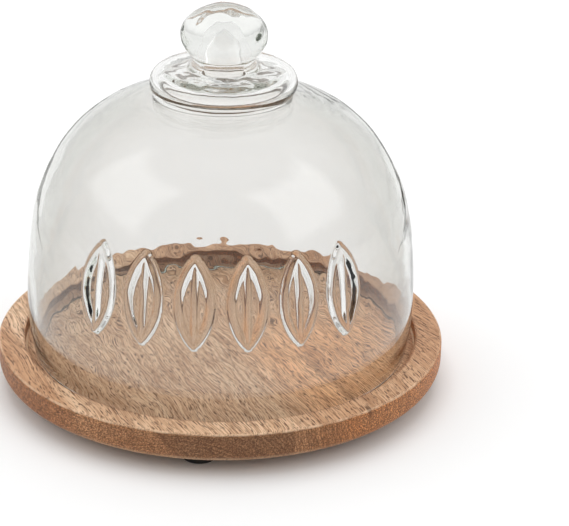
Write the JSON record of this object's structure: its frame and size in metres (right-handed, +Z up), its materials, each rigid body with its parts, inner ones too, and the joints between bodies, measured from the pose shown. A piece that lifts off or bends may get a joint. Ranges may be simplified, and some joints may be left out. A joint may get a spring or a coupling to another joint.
{
  "type": "cheese dome",
  "caption": "Clear glass cheese dome with ball knob, thick collar and raised leaf relief, standing in the recess of a round wooden board on rubber feet.",
  "frame": {"origin": "centre of the footprint, on the surface that the four feet stand on", "axes": "+Z up along the axis of the board and the dome; -Y is the front, where the relief band is; +X is the right seen from the front"},
  "size_m": [0.196, 0.196, 0.1681],
  "materials": {
    "mango_wood": "sanded mango wood, matt food-safe oil, fine dark pores",
    "clear_glass": "clear soda-lime glass, fire-polished, slightly wavy as hand-made glass is",
    "black_rubber": "moulded black rubber, matt",
    "zinc_steel": "bright zinc-plated steel"
  },
  "bodies": {
    "base": {"board": "mango_wood", "foot_front": "black_rubber", "foot_right": "black_rubber", "foot_back": "black_rubber", "foot_left": "black_rubber", "washer_front": "zinc_steel", "washer_right": "zinc_steel", "washer_back": "zinc_steel", "washer_left": "zinc_steel", "screw_front": "zinc_steel", "screw_right": "zinc_steel", "screw_back": "zinc_steel", "screw_left": "zinc_steel"},
    "dome": {"glass_dome": "clear_glass"}
  },
  "joints": [
    {"name": "dome_lift", "type": "slide", "parent": "base", "child": "dome", "axis": [0, 0, 1], "range_m": [0, 0.2]}
  ]
}
